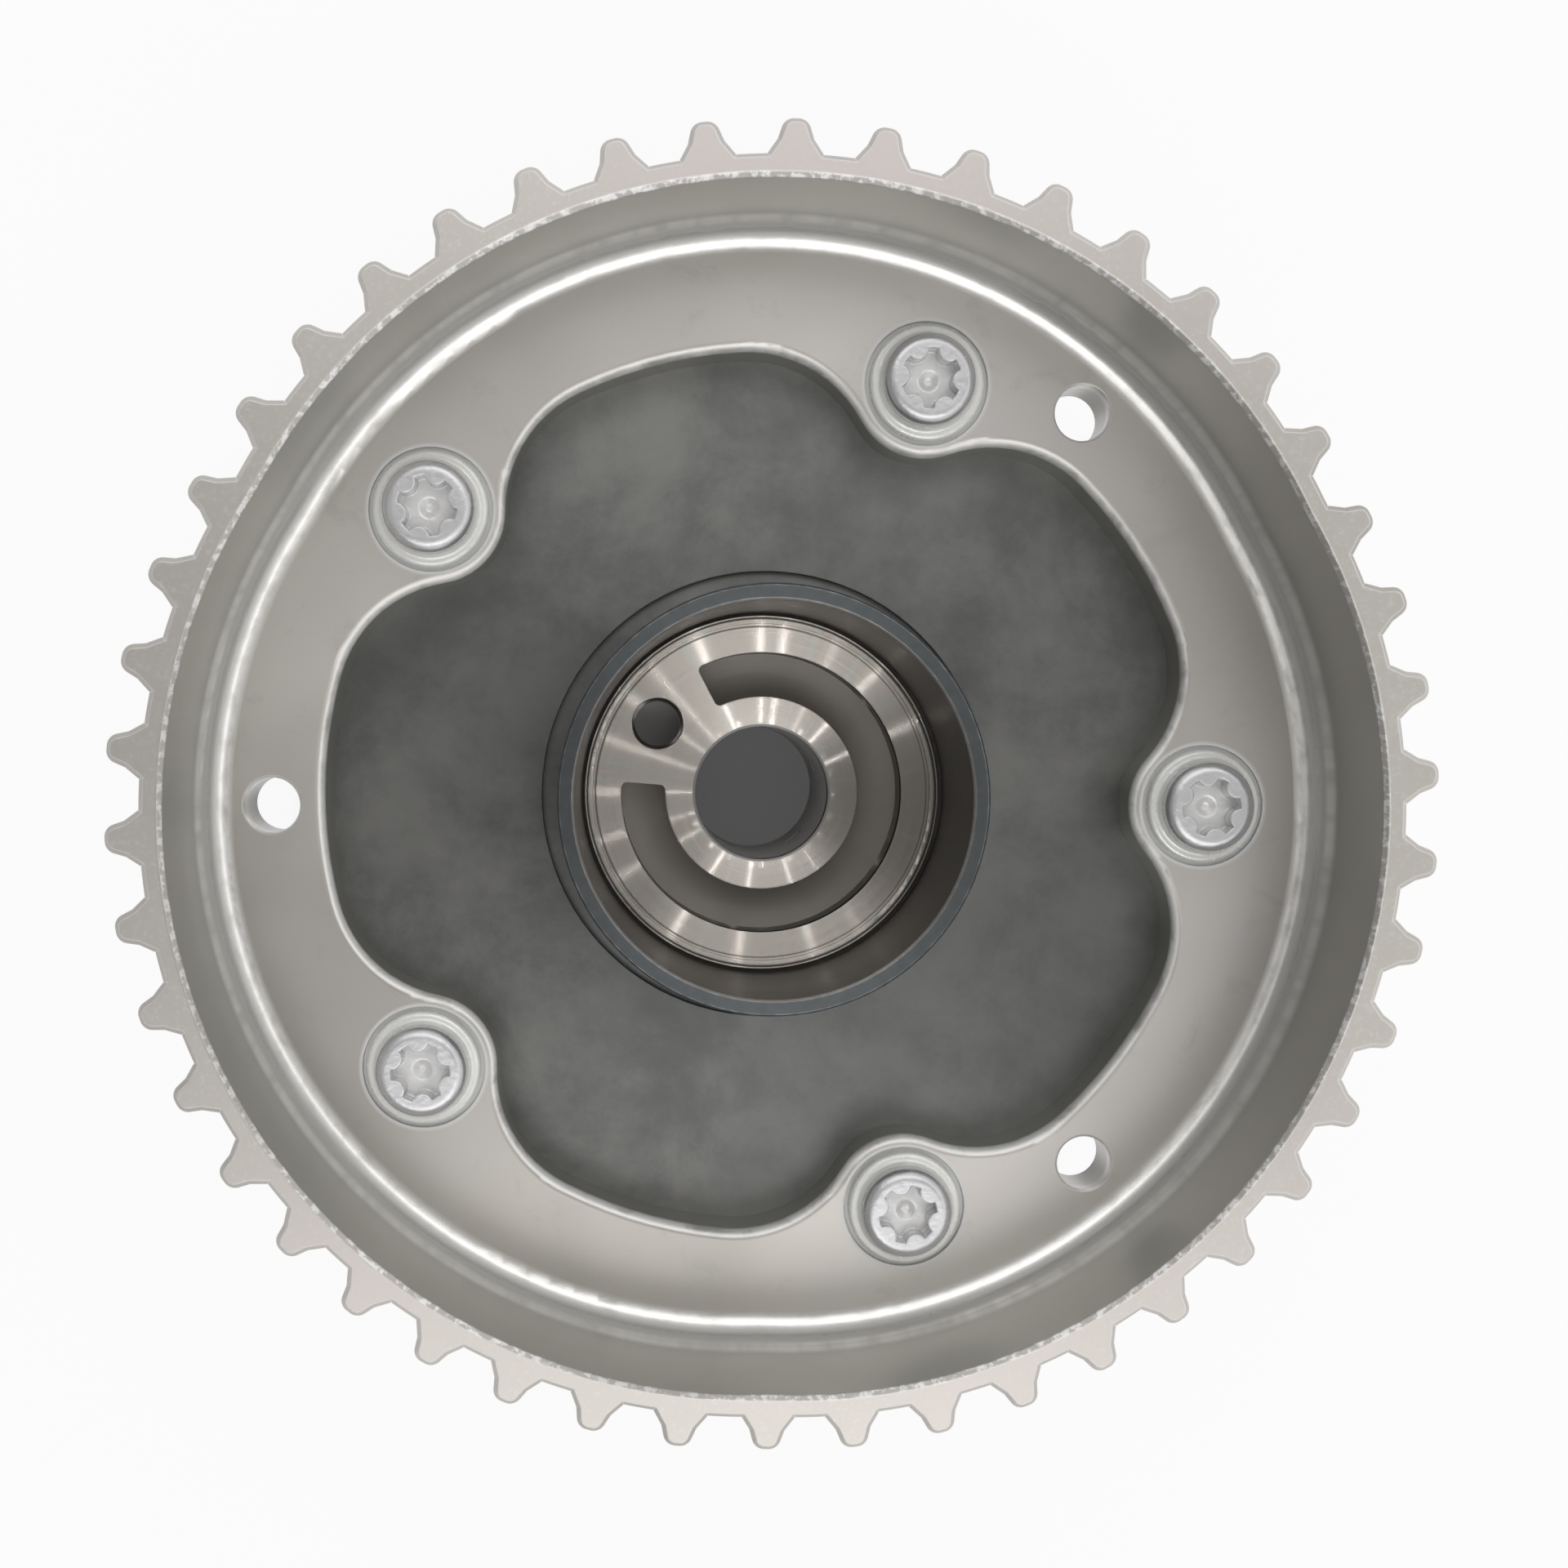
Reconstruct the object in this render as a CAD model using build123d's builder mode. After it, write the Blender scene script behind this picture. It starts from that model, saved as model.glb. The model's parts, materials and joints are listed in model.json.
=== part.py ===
from build123d import *
import os
from math import atan2, cos, degrees, radians, sin, sqrt

# Camshaft sprocket with its vane-type phaser. The Z axis is the camshaft's axis and +Z points
# to the camshaft. Z zero is the rotor face that the camshaft's nose seats on.

# Chain teeth, for an inverted-tooth chain of 8 mm pitch
tooth_count = 46
tip_radius = 56.25
tooth_height = 2.95
tooth_width = 14.0
crest_half_width = 1.0
crest_round = 1.1
flank_drop = 1.75
flank_half_width = 1.57
foot_half_width = 2.4
tooth_bevel = 0.4
tooth_root_overlap = 1.0

# Three lobes of the toothed rim: each is an arc about a centre moved towards its lobe
lobe_count = 3
lobe_offset = 2.47
first_lobe_angle = 90.0
cusp_blend = 20.0

# Cup of the sprocket
rim_thickness = 2.0
cup_depth = 15.5
cup_inner_blend = 2.5
cup_bend_radius = 4.5
rim_inner_bevel = 0.35
web_thickness = 5.5
opening_edge = 0.4
opening_lug_radius = 6.9
opening_blend = 12.3
opening_edge_round = 0.8
pin_hole_radius = 2.6
pin_hole_gap = 0.6
pin_hole_bevel = 0.2
pin_hole_angles = (52.0, 182.0, 312.0)

# Housing screws
screw_inset = 9.3
screw_step = 70.4
thread_radius = 3.0
thread_clearance = 0.02
screw_hole_clearance = 0.3
screw_end_setback = 0.6
screw_end_bevel = 0.6
flange_radius = 5.45
flange_thickness = 1.1
flange_edge_bevel = 0.25
head_radius = 4.3
head_height = 2.3
head_edge_round = 1.0
head_foot_bevel = 0.4
recess_point_radius = 2.8
recess_flute_radius = 1.0
recess_flute_circle = 3.0
recess_depth = 1.9
recess_dimple_radius = 1.0
recess_dimple_tip_radius = 0.3
recess_dimple_depth = 0.4
recess_turns = (9.0, 27.0, 45.0, 5.0, 16.0)
seat_depth = 0.4
seat_clearance = 0.4

# Housing outline, shared by the stator and both covers
housing_edge = 2.0
housing_lug_radius = 5.2
housing_lug_blend = 3.0
housing_edge_bevel = 0.5

# Rear cover and its collar
rear_cover_thickness = 7.0
collar_height = 13.6
collar_radius = 19.85
collar_bore_radius = 18.3
collar_edge_bevel = 0.2
relief_width = 2.15
relief_depth = 0.7
nose_room = 0.75
lip_room = 0.4

# Stator and its chambers
chamber_depth = 16.0
housing_wall = 6.5
chamber_corner_round = 0.8
corner_clearance = 0.3
phasing_travel = 25.0
stop_gap = 0.25

# Front cover
front_cover_thickness = 6.0
front_bore_bevel = 0.5

# Rotor
hub_radius = 23.0
hub_clearance = 0.08
vane_half_angle = 8.0
vane_tip_clearance = 0.1
vane_root_round = 0.8
face_clearance = 0.02
rest_lag = 4.4
centre_bore_radius = 6.8
nose_radius = 17.95
nose_height = 1.5
lip_thickness = 0.15
lip_height = 0.7
lip_root_round = 0.6
cam_seat_relief_width = 0.35
cam_seat_relief_depth = 0.25
groove_inner_radius = 9.8
groove_outer_radius = 14.3
groove_depth = 4.5
groove_start_angle = 176.6
groove_end_angle = 478.6
groove_corner_round = 0.6
dowel_hole_radius = 2.3
dowel_hole_depth = 6.5
dowel_hole_bevel = 0.35
dowel_circle = 12.72
dowel_angle = 147.5
front_nose_radius = 14.95
front_nose_height = 3.0
front_nose_clearance = 0.05
front_nose_bevel = 0.4
oil_hole_radius = 1.2
oil_hole_margin = 2.2
groove_hole_depth = 3.0
bore_hole_depth = 12.5

# Seal strips and their bow springs
strip_width = 1.6
strip_height = 2.4
strip_clearance = 0.04
strip_end_clearance = 0.05
strip_lift = 0.9
bow_thickness = 0.22
bow_half_length = 6.5
bow_width = 1.3
bow_gap = 0.01
strip_edge_round = 0.3

# Lock pin and what holds it
lock_wall = 0.46
lock_radius = 3.5
lock_clearance = 0.04
lock_length = 10.5
lock_nose_radius = 3.2
lock_nose_length = 4.0
lock_nose_bevel = 0.4
lock_hollow_radius = 2.4
lock_hollow_depth = 7.0
lock_cap_thickness = 2.0
lock_cap_vent_radius = 0.8
lock_spring_radius = 1.9
lock_spring_wire = 0.25
lock_spring_turns = 6
bush_radius = 5.0
bush_bore_radius = 3.35
bush_height = 4.0
bush_fit = 0.01
bush_pocket_room = 0.3

# Locating pin between the covers
locating_wall = 1.8
locating_angle = 180.0
locating_radius = 1.5
locating_fit = 0.01
locating_bite = 4.0
locating_edge_bevel = 0.3

# How far a cut runs past the face that it opens into, and how near counts as the same place
overcut = 1.0
same_place = 0.01

# Levels along the axis, worked out from the sizes above
rear_cover_inner = -nose_height
rear_cover_top = rear_cover_inner + rear_cover_thickness
web_top = rear_cover_top + web_thickness
rim_top = web_top + cup_depth
collar_top = rear_cover_top + collar_height
stator_front = rear_cover_inner - chamber_depth
front_face = stator_front - front_cover_thickness
rotor_rear = rear_cover_inner - face_clearance
rotor_front = stator_front + face_clearance
tooth_bottom = rim_top - tooth_width
screw_seat = web_top - seat_depth
screw_tip = front_face + screw_end_setback
chamber_middle = (rear_cover_inner + stator_front) / 2
strip_length = chamber_depth - 2 * strip_end_clearance

# Angles, worked out from the sizes above
wide_step = 360.0 - 4 * screw_step
screw_angles = (0.0, screw_step, 2 * screw_step, 360.0 - 2 * screw_step, 360.0 - screw_step)
web_half_angle = screw_step / 2 - vane_half_angle - phasing_travel / 2 - stop_gap
wide_vane_half_angle = wide_step / 2 - web_half_angle - phasing_travel / 2 - stop_gap
chamber_angles = [angle + screw_step / 2 for angle in screw_angles]
chamber_angles[2] = 180.0
vane_angles = [angle - rest_lag for angle in chamber_angles]
vane_half_angles = [vane_half_angle] * 5
vane_half_angles[2] = wide_vane_half_angle
wide_vane_angle = vane_angles[2]
parked_turn = rest_lag - phasing_travel / 2

# Radii, worked out from the sizes above
root_radius = tip_radius - tooth_height
cup_inner_radius = root_radius - rim_thickness
screw_circle = cup_inner_radius - screw_inset
opening_radius = screw_circle + opening_edge
housing_radius = screw_circle + housing_edge
pin_hole_circle = housing_radius + pin_hole_gap + pin_hole_radius
screw_hole_radius = thread_radius + screw_hole_clearance
seat_radius = flange_radius + seat_clearance
chamber_radius = housing_radius - housing_wall
lip_inner_radius = nose_radius - lip_thickness
lip_root_radius = lip_inner_radius - lip_root_round
hub_bore_radius = hub_radius + hub_clearance
vane_tip_radius = chamber_radius - vane_tip_clearance
vane_edge_round = chamber_corner_round + corner_clearance
web_edge_round = vane_root_round + corner_clearance
strip_slot_width = strip_width + 2 * strip_clearance
strip_slot_depth = strip_height + strip_lift + vane_tip_clearance
vane_slot_floor = vane_tip_radius - strip_slot_depth
vane_slot_middle = (vane_slot_floor + vane_tip_radius + overcut) / 2
web_slot_floor = hub_bore_radius + strip_slot_depth
web_slot_middle = (web_slot_floor + hub_bore_radius - overcut) / 2
lock_bore_radius = lock_radius + lock_clearance
lock_circle = vane_slot_floor - lock_wall - lock_bore_radius
locating_hole_radius = locating_radius + locating_fit
locating_circle = chamber_radius + locating_wall + locating_radius


def at_angle(radius, angle):
    return (radius * cos(radians(angle)), radius * sin(radians(angle)))


def turned(radius, angle):
    return Location((*at_angle(radius, angle), 0), (0, 0, angle))


def corners_between(sketch, low, high):
    return sketch.vertices().filter_by(lambda corner: low < Vector(corner).length < high)


screw_points = [at_angle(screw_circle, angle) for angle in screw_angles]
locating_point = at_angle(locating_circle, locating_angle)
lock_point = at_angle(lock_circle, wide_vane_angle)
bush_point = at_angle(lock_circle, wide_vane_angle + parked_turn)


def three_lobed_disc(radius):
    with PolarLocations(lobe_offset, lobe_count, start_angle=first_lobe_angle):
        Circle(radius)


def wedges(angles, half_angles, mode=Mode.ADD):
    reach = 2 * housing_radius
    for angle, half_angle in zip(angles, half_angles):
        corners = ((0, 0), at_angle(reach, angle - half_angle), at_angle(reach, angle + half_angle))
        Polygon(*corners, align=None, mode=mode)


def housing_outline():
    Circle(housing_radius)
    with Locations(*screw_points):
        Circle(housing_lug_radius)


def tooth_locations():
    # Teeth are spaced evenly along the three arcs, square to each arc
    cusp = lobe_offset / 2 + sqrt(tip_radius**2 - 0.75 * lobe_offset**2)
    half_turn = degrees(atan2(cusp * sin(radians(60)), cusp * cos(radians(60)) - lobe_offset))
    places = []
    for number in range(tooth_count):
        even_angle = number * 360.0 / tooth_count
        lobe = round(even_angle / 120.0) % lobe_count
        from_lobe = (even_angle - 120.0 * lobe + 180.0) % 360.0 - 180.0
        lobe_angle = first_lobe_angle + 120.0 * lobe
        turn = lobe_angle + from_lobe * half_turn / 60.0
        places.append(Location((*at_angle(lobe_offset, lobe_angle), 0), (0, 0, turn)))
    return places


# Sprocket: one tooth, made once
foot = root_radius - tooth_root_overlap
with BuildPart() as tooth:
    with BuildSketch(Plane.XY.offset(tooth_bottom)) as tooth_outline:
        with BuildLine():
            flank_bend = (tip_radius - flank_drop, flank_half_width)
            Polyline((foot, 0), (foot, foot_half_width), (root_radius, foot_half_width), flank_bend)
            Polyline(flank_bend, (tip_radius, crest_half_width), (tip_radius, 0))
            mirror(about=Plane.XZ)
        make_face()
        fillet(tooth_outline.vertices().group_by(Axis.X)[-1], radius=crest_round)
    extrude(amount=tooth_width)
    end_edges = tooth.faces().sort_by(Axis.Z)[-1].edges()
    outer_edges = end_edges.filter_by(lambda edge: edge.bounding_box().max.X > root_radius + same_place)
    chamfer(outer_edges, length=tooth_bevel)

# Sprocket: cup with its rim, web and openings
with BuildPart() as sprocket:
    with BuildSketch(Plane.XY.offset(rear_cover_top)) as rim_outline:
        three_lobed_disc(root_radius)
        fillet(rim_outline.vertices(), radius=cusp_blend)
    extrude(amount=web_thickness + cup_depth)
    fillet(sprocket.faces().sort_by(Axis.Z)[0].edges(), radius=cup_bend_radius)
    chamfer(sprocket.faces().sort_by(Axis.Z)[-1].edges(), length=tooth_bevel)
    with BuildSketch(Plane.XY.offset(web_top)) as cavity:
        three_lobed_disc(cup_inner_radius)
        fillet(cavity.vertices(), radius=cusp_blend)
    extrude(amount=cup_depth, mode=Mode.SUBTRACT)
    fillet(sprocket.edges().filter_by_position(Axis.Z, web_top, web_top), radius=cup_inner_blend)
    rim_face = sprocket.faces().sort_by(Axis.Z)[-1]
    chamfer(rim_face.inner_wires()[0].edges(), length=rim_inner_bevel)
    with BuildSketch(Plane.XY.offset(rear_cover_top)) as opening:
        Circle(opening_radius)
        with Locations(*screw_points):
            Circle(opening_lug_radius, mode=Mode.SUBTRACT)
        fillet(opening.vertices(), radius=opening_blend)
    extrude(amount=web_thickness, mode=Mode.SUBTRACT)
    web_face = sprocket.faces().filter_by(Axis.Z).filter_by_position(Axis.Z, web_top, web_top)[0]
    fillet(web_face.inner_wires()[0].edges(), radius=opening_edge_round)
    with Locations(Plane.XY.offset(web_top)):
        with Locations(*screw_points):
            CounterBoreHole(screw_hole_radius, seat_radius, seat_depth)
    with Locations(Plane.XY.offset(web_top)):
        with Locations(*[at_angle(pin_hole_circle, angle) for angle in pin_hole_angles]):
            Hole(pin_hole_radius)
    pin_hole_mouths = sprocket.edges().filter_by_position(Axis.Z, web_top, web_top).filter_by(
        lambda edge: edge.geom_type == GeomType.CIRCLE and abs(edge.radius - pin_hole_radius) < same_place
    )
    chamfer(pin_hole_mouths, length=pin_hole_bevel)
    with Locations(*tooth_locations()):
        add(tooth.part)
sprocket.part.label = "sprocket"

# Rear cover: plate, collar, relief groove at the collar's foot, room round the rotor's nose
# and its lip, and the lock pocket inside
with BuildPart() as rear_cover:
    with BuildSketch(Plane.XY.offset(rear_cover_inner)) as rear_outline:
        housing_outline()
        fillet(rear_outline.vertices(), radius=housing_lug_blend)
    extrude(amount=rear_cover_thickness)
    with BuildSketch(Plane.XY.offset(rear_cover_top)):
        Circle(collar_radius)
    extrude(amount=collar_height)
    with BuildSketch(Plane.XY.offset(rear_cover_top)):
        Circle(collar_radius + relief_width)
        Circle(collar_radius, mode=Mode.SUBTRACT)
    extrude(amount=-relief_depth, mode=Mode.SUBTRACT)
    with BuildSketch(Plane.XY):
        Circle(collar_bore_radius)
    extrude(amount=collar_top, mode=Mode.SUBTRACT)
    with BuildSketch(Plane.XY.offset(rear_cover_inner)):
        Circle(nose_radius + nose_room)
    extrude(amount=nose_height + lip_height + lip_room, mode=Mode.SUBTRACT)
    chamfer(rear_cover.faces().sort_by(Axis.Z)[-1].edges(), length=collar_edge_bevel)
    with Locations(Plane.XY.offset(rear_cover_top)):
        with Locations(*screw_points):
            Hole(screw_hole_radius)
    with BuildSketch(Plane.XY.offset(rear_cover_inner)):
        with Locations(bush_point):
            Circle(bush_radius + bush_fit)
    extrude(amount=bush_height, mode=Mode.SUBTRACT)
    with BuildSketch(Plane.XY.offset(rear_cover_inner)):
        with Locations(bush_point):
            Circle(bush_bore_radius)
    extrude(amount=bush_height + bush_pocket_room, mode=Mode.SUBTRACT)
    with BuildSketch(Plane.XY.offset(rear_cover_inner)):
        with Locations(locating_point):
            Circle(locating_hole_radius)
    extrude(amount=locating_bite, mode=Mode.SUBTRACT)
rear_cover.part.label = "rear_cover"

# Stator: ring with five inward webs, each with a slot for its seal strip
with BuildPart() as stator:
    with BuildSketch(Plane.XY.offset(stator_front)) as stator_outline:
        housing_outline()
        fillet(stator_outline.vertices(), radius=housing_lug_blend)
    extrude(amount=chamber_depth)
    with BuildSketch(Plane.XY.offset(stator_front)) as chambers:
        Circle(chamber_radius)
        wedges(screw_angles, [web_half_angle] * 5, Mode.SUBTRACT)
        Circle(hub_bore_radius)
        outer_corners = corners_between(chambers, chamber_radius - same_place, chamber_radius + same_place)
        fillet(outer_corners, radius=chamber_corner_round)
        web_corners = corners_between(chambers, hub_bore_radius - same_place, hub_bore_radius + same_place)
        fillet(web_corners, radius=web_edge_round)
    extrude(amount=chamber_depth, mode=Mode.SUBTRACT)
    with BuildSketch(Plane.XY.offset(stator_front)):
        with Locations(*[turned(web_slot_middle, angle) for angle in screw_angles]):
            Rectangle(strip_slot_depth + overcut, strip_slot_width)
    extrude(amount=chamber_depth, mode=Mode.SUBTRACT)
    with BuildSketch(Plane.XY.offset(stator_front)):
        with Locations(*screw_points):
            Circle(screw_hole_radius)
        with Locations(locating_point):
            Circle(locating_hole_radius)
    extrude(amount=chamber_depth, mode=Mode.SUBTRACT)
stator.part.label = "stator"

# Front cover: plate with the threaded holes and the opening that the rotor's front nose runs in
with BuildPart() as front_cover:
    with BuildSketch(Plane.XY.offset(front_face)) as front_outline:
        housing_outline()
        fillet(front_outline.vertices(), radius=housing_lug_blend)
    extrude(amount=front_cover_thickness)
    chamfer(front_cover.faces().sort_by(Axis.Z)[0].edges(), length=housing_edge_bevel)
    with BuildSketch(Plane.XY.offset(front_face)):
        Circle(front_nose_radius + front_nose_clearance)
        with Locations(*screw_points):
            Circle(thread_radius)
    extrude(amount=front_cover_thickness, mode=Mode.SUBTRACT)
    front_holes = front_cover.faces().sort_by(Axis.Z)[0].inner_wires()
    for wire in front_holes:
        chamfer(wire.edges(), length=front_bore_bevel)
    with BuildSketch(Plane.XY.offset(stator_front)):
        with Locations(locating_point):
            Circle(locating_hole_radius)
    extrude(amount=-locating_bite, mode=Mode.SUBTRACT)
front_cover.part.label = "front_cover"

# Rotor: hub with five vanes, camshaft seat with its lip, front nose, oil groove and passages
with BuildPart() as rotor:
    with BuildSketch(Plane.XY.offset(rotor_front)) as vane_outline:
        wedges(vane_angles, vane_half_angles)
        Circle(vane_tip_radius, mode=Mode.INTERSECT)
        Circle(hub_radius)
        root_corners = corners_between(vane_outline, hub_radius - same_place, hub_radius + same_place)
        fillet(root_corners, radius=vane_root_round)
        tip_corners = corners_between(vane_outline, vane_tip_radius - same_place, chamber_radius)
        fillet(tip_corners, radius=vane_edge_round)
    extrude(amount=rotor_rear - rotor_front)
    with BuildSketch(Plane.XY.offset(rotor_rear)):
        Circle(nose_radius)
    extrude(amount=lip_height - rotor_rear)
    with BuildSketch(Plane.XY):
        Circle(lip_inner_radius)
    extrude(amount=lip_height, mode=Mode.SUBTRACT)
    fillet(rotor.edges().filter_by_position(Axis.Z, 0, 0), radius=lip_root_round)
    with BuildSketch(Plane.XY):
        Circle(lip_root_radius)
        Circle(lip_root_radius - cam_seat_relief_width, mode=Mode.SUBTRACT)
    extrude(amount=-cam_seat_relief_depth, mode=Mode.SUBTRACT)
    with BuildSketch(Plane.XY.offset(rotor_front)):
        Circle(front_nose_radius)
    extrude(amount=-front_nose_height)
    chamfer(rotor.faces().sort_by(Axis.Z)[0].edges(), length=front_nose_bevel)
    with BuildSketch(Plane.XY) as groove:
        Circle(groove_outer_radius)
        Circle(groove_inner_radius, mode=Mode.SUBTRACT)
        bridge_middle = (groove_start_angle + groove_end_angle - 360.0) / 2
        bridge_half = (groove_start_angle - groove_end_angle + 360.0) / 2
        wedges([bridge_middle], [bridge_half], Mode.SUBTRACT)
        fillet(groove.vertices(), radius=groove_corner_round)
    extrude(amount=-groove_depth, mode=Mode.SUBTRACT)
    with BuildSketch(Plane.XY):
        Circle(centre_bore_radius)
    extrude(until=Until.LAST, mode=Mode.SUBTRACT, dir=(0, 0, -1))
    with BuildSketch(Plane.XY):
        with Locations(at_angle(dowel_circle, dowel_angle)):
            Circle(dowel_hole_radius)
    extrude(amount=-dowel_hole_depth, mode=Mode.SUBTRACT)
    dowel_mouth = rotor.edges().filter_by_position(Axis.Z, 0, 0).filter_by(
        lambda edge: edge.geom_type == GeomType.CIRCLE and abs(edge.radius - dowel_hole_radius) < same_place
    )
    chamfer(dowel_mouth, length=dowel_hole_bevel)
    with BuildSketch(Plane.XY.offset(rotor_front)):
        with Locations(*[turned(vane_slot_middle, angle) for angle in vane_angles]):
            Rectangle(strip_slot_depth + overcut, strip_slot_width)
    extrude(amount=rotor_rear - rotor_front, mode=Mode.SUBTRACT)
    with BuildSketch(Plane.XY.offset(rotor_front)):
        with Locations(lock_point):
            Circle(lock_bore_radius)
    extrude(amount=rotor_rear - rotor_front, mode=Mode.SUBTRACT)
    groove_hole_start = groove_outer_radius - overcut
    for angle, half_angle in zip(vane_angles, vane_half_angles):
        left_side = angle + half_angle + oil_hole_margin
        start_point = (*at_angle(groove_hole_start, left_side), -groove_hole_depth)
        with BuildSketch(Plane(origin=start_point, z_dir=(*at_angle(1, left_side), 0))):
            Circle(oil_hole_radius)
        extrude(amount=hub_radius + overcut - groove_hole_start, mode=Mode.SUBTRACT)
        right_side = angle - half_angle - oil_hole_margin
        with BuildSketch(Plane(origin=(0, 0, -bore_hole_depth), z_dir=(*at_angle(1, right_side), 0))):
            Circle(oil_hole_radius)
        extrude(amount=hub_radius + overcut, mode=Mode.SUBTRACT)
rotor.part.label = "rotor"


def housing_screw(point, recess_turn):
    head_base = screw_seat + flange_thickness
    head_top = head_base + head_height
    with BuildPart() as screw:
        with BuildSketch(Plane.XY.offset(screw_tip)):
            with Locations(point):
                Circle(thread_radius - thread_clearance)
        extrude(amount=screw_seat - screw_tip)
        chamfer(screw.faces().sort_by(Axis.Z)[0].edges(), length=screw_end_bevel)
        with BuildSketch(Plane.XY.offset(screw_seat)):
            with Locations(point):
                Circle(flange_radius)
        extrude(amount=flange_thickness)
        chamfer(screw.faces().sort_by(Axis.Z)[-1].edges(), length=flange_edge_bevel)
        with BuildSketch(Plane.XY.offset(head_base)):
            with Locations(point):
                Circle(head_radius)
        extrude(amount=head_height)
        fillet(screw.faces().sort_by(Axis.Z)[-1].edges(), radius=head_edge_round)
        foot_edges = screw.edges().filter_by_position(Axis.Z, head_base, head_base).filter_by(
            lambda edge: edge.geom_type == GeomType.CIRCLE and abs(edge.radius - head_radius) < same_place
        )
        chamfer(foot_edges, length=head_foot_bevel)
        with BuildSketch(Plane.XY.offset(head_top)):
            with Locations(point):
                Circle(recess_point_radius)
                with PolarLocations(recess_flute_circle, 6, start_angle=recess_turn + 30.0):
                    Circle(recess_flute_radius, mode=Mode.SUBTRACT)
        extrude(amount=-recess_depth, mode=Mode.SUBTRACT)
        with Locations((*point, head_top - recess_depth - recess_dimple_depth / 2)):
            Cone(recess_dimple_tip_radius, recess_dimple_radius, recess_dimple_depth, mode=Mode.SUBTRACT)
    return screw.part


def seal_strip(angle, middle_radius, inner_side):
    # inner_side is 1 where the strip's rubbing face looks outward and -1 where it looks inward
    with BuildPart() as strip:
        with BuildSketch(Plane.XY.offset(chamber_middle - strip_length / 2)):
            with Locations(turned(middle_radius, angle)):
                Rectangle(strip_height, strip_width)
        extrude(amount=strip_length)
        rubbing_face = strip.faces().sort_by(Axis((0, 0, 0), (*at_angle(inner_side, angle), 0)))[-1]
        fillet(rubbing_face.edges().filter_by(Axis.Z), radius=strip_edge_round)
    return strip.part


def bow_spring(angle, floor_radius, direction):
    tangent = (-sin(radians(angle)), cos(radians(angle)), 0)
    floor = floor_radius + direction * bow_gap
    rise = strip_lift - 2 * bow_gap - bow_thickness
    middle_low = floor + direction * rise
    middle_high = middle_low + direction * bow_thickness
    end_high = floor + direction * bow_thickness
    with BuildPart() as bow:
        with BuildSketch(Plane(origin=(0, 0, chamber_middle), x_dir=(0, 0, 1), z_dir=tangent)):
            with BuildLine():
                ThreePointArc((-bow_half_length, floor), (0, middle_low), (bow_half_length, floor))
                Line((bow_half_length, floor), (bow_half_length, end_high))
                ThreePointArc((bow_half_length, end_high), (0, middle_high), (-bow_half_length, end_high))
                Line((-bow_half_length, end_high), (-bow_half_length, floor))
            make_face()
        extrude(amount=bow_width / 2, both=True)
    return bow.part


# Lock pin: stepped nose, and hollow from behind for its spring
pin_back = rotor_rear - lock_length
with BuildPart() as lock_pin:
    with BuildSketch(Plane.XY.offset(pin_back)):
        with Locations(lock_point):
            Circle(lock_radius)
    extrude(amount=lock_length - lock_nose_length)
    with BuildSketch(Plane.XY.offset(rotor_rear - lock_nose_length)):
        with Locations(lock_point):
            Circle(lock_nose_radius)
    extrude(amount=lock_nose_length)
    chamfer(lock_pin.faces().sort_by(Axis.Z)[-1].edges(), length=lock_nose_bevel)
    with BuildSketch(Plane.XY.offset(pin_back)):
        with Locations(lock_point):
            Circle(lock_hollow_radius)
    extrude(amount=lock_hollow_depth, mode=Mode.SUBTRACT)
lock_pin.part.label = "lock_pin"

# Lock cap: pressed into the front end of the pin's bore, with a vent
cap_top = rotor_front + lock_cap_thickness
with BuildPart() as lock_cap:
    with BuildSketch(Plane.XY.offset(rotor_front)):
        with Locations(lock_point):
            Circle(lock_bore_radius - bush_fit)
            Circle(lock_cap_vent_radius, mode=Mode.SUBTRACT)
    extrude(amount=lock_cap_thickness)
lock_cap.part.label = "lock_cap"

# Lock spring: between the cap and the bottom of the pin's hollow
spring_bottom = cap_top + lock_spring_wire
spring_length = pin_back + lock_hollow_depth - lock_spring_wire - spring_bottom
with BuildPart() as lock_spring:
    with BuildLine() as coil:
        pitch = spring_length / lock_spring_turns
        Helix(pitch, spring_length, lock_spring_radius, center=(*lock_point, spring_bottom))
    with BuildSketch(Plane(origin=coil.wire() @ 0, z_dir=coil.wire() % 0)):
        RegularPolygon(lock_spring_wire, 6)
    sweep(is_frenet=True)
lock_spring.part.label = "lock_spring"

# Lock bush: hardened ring in the rear cover, where the pin drops in when the rotor is parked
with BuildPart() as lock_bush:
    with BuildSketch(Plane.XY.offset(rear_cover_inner)):
        with Locations(bush_point):
            Circle(bush_radius)
            Circle(bush_bore_radius, mode=Mode.SUBTRACT)
    extrude(amount=bush_height)
lock_bush.part.label = "lock_bush"

# Locating pin: through the stator's ring into both covers
with BuildPart() as locating_pin:
    with BuildSketch(Plane.XY.offset(stator_front - locating_bite + locating_edge_bevel)):
        with Locations(locating_point):
            Circle(locating_radius)
    extrude(amount=chamber_depth + 2 * (locating_bite - locating_edge_bevel))
    chamfer(locating_pin.faces().filter_by(Axis.Z).edges(), length=locating_edge_bevel)
locating_pin.part.label = "locating_pin"

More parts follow.
